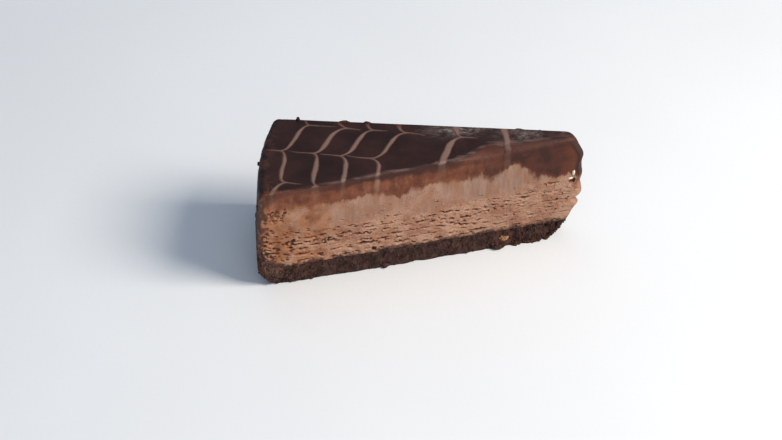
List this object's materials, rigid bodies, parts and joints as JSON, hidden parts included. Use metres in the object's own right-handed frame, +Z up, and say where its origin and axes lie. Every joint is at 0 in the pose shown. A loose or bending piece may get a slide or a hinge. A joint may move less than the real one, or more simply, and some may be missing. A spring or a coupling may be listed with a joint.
{
  "type": "chocolate cheesecake slice",
  "caption": "Slice of chocolate cheesecake with a dark biscuit crust, a baked chocolate filling and a feathered chocolate glaze, resting flat on its crust.",
  "frame": {"origin": "centre of the box that the slice fills, at its underside", "axes": "+Z up, +X along the slice towards its tip, so the rim is at -X and the cut that the picture shows faces -Y"},
  "size_m": [0.1176, 0.0464, 0.0434],
  "materials": {
    "biscuit_crust": "very dark, rough, crumbly biscuit",
    "chocolate_filling": "matt milk-chocolate brown, smooth at the top and cracked lower down",
    "chocolate_glaze": "near-black soft gloss with paler brown feathered lines"
  },
  "bodies": {
    "root": {"biscuit_crust": "biscuit_crust", "chocolate_filling": "chocolate_filling", "chocolate_glaze": "chocolate_glaze"}
  },
  "joints": []
}
